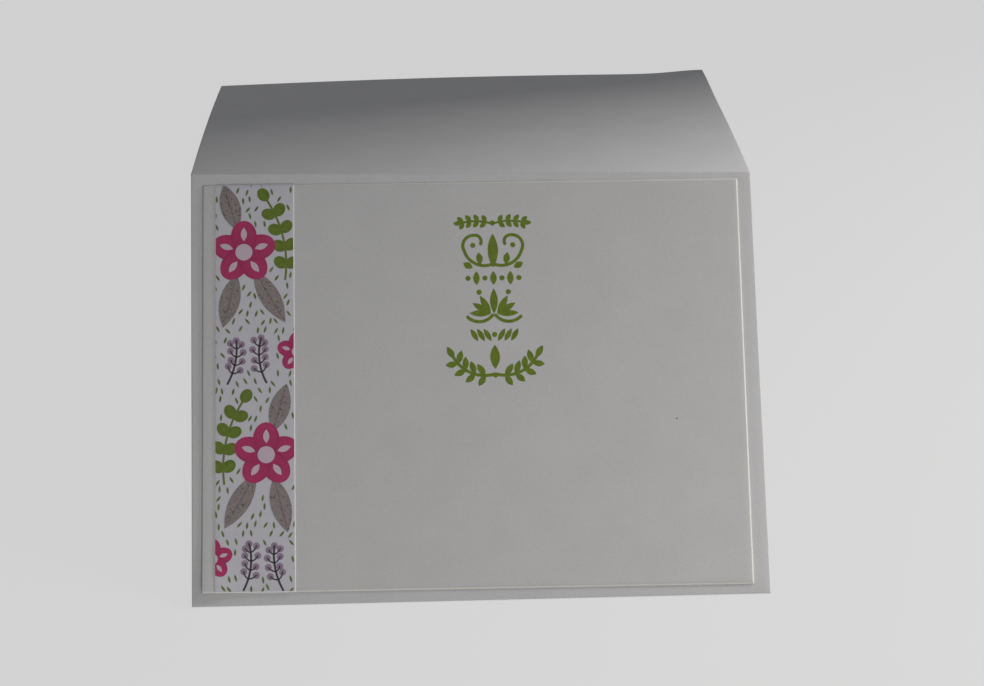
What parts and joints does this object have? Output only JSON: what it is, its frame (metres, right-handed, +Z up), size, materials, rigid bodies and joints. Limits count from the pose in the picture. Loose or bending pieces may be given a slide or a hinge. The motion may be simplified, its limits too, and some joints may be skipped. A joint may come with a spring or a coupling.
{
  "type": "greeting card",
  "caption": "Folded card opened past flat, resting as a low tent, with a glued inside panel, a strip of patterned paper and a stamped ornament.",
  "frame": {"origin": "centre of the footprint on the surface that the card rests on", "axes": "+X along the fold, +Y away from the decorated leaf's free edge towards the plain leaf's, +Z up"},
  "size_m": [0.1396, 0.1878, 0.0547],
  "materials": {
    "base_cardstock": "matt white cardstock with a fine tooth",
    "panel_cardstock": "matt white cardstock with a fine tooth",
    "strip_paper": "smooth pale lavender-white printed paper",
    "pink_ink": "flat printed ink, slightly mottled",
    "blush_ink": "flat printed ink",
    "grey_ink": "printed ink with darker speckles",
    "leaf_green_ink": "flat printed ink, slightly mottled",
    "lilac_ink": "flat printed ink",
    "plum_ink": "flat printed ink",
    "olive_stamp_ink": "stamped ink, slightly mottled"
  },
  "bodies": {
    "root": {"card_base": "base_cardstock", "inside_panel": "panel_cardstock", "pattern_strip": "strip_paper", "print_pink": "pink_ink", "print_blush": "blush_ink", "print_grey": "grey_ink", "print_green": "leaf_green_ink", "print_seeds": "leaf_green_ink", "print_lilac": "lilac_ink", "print_plum": "plum_ink", "stamped_ornament": "olive_stamp_ink"}
  },
  "joints": []
}
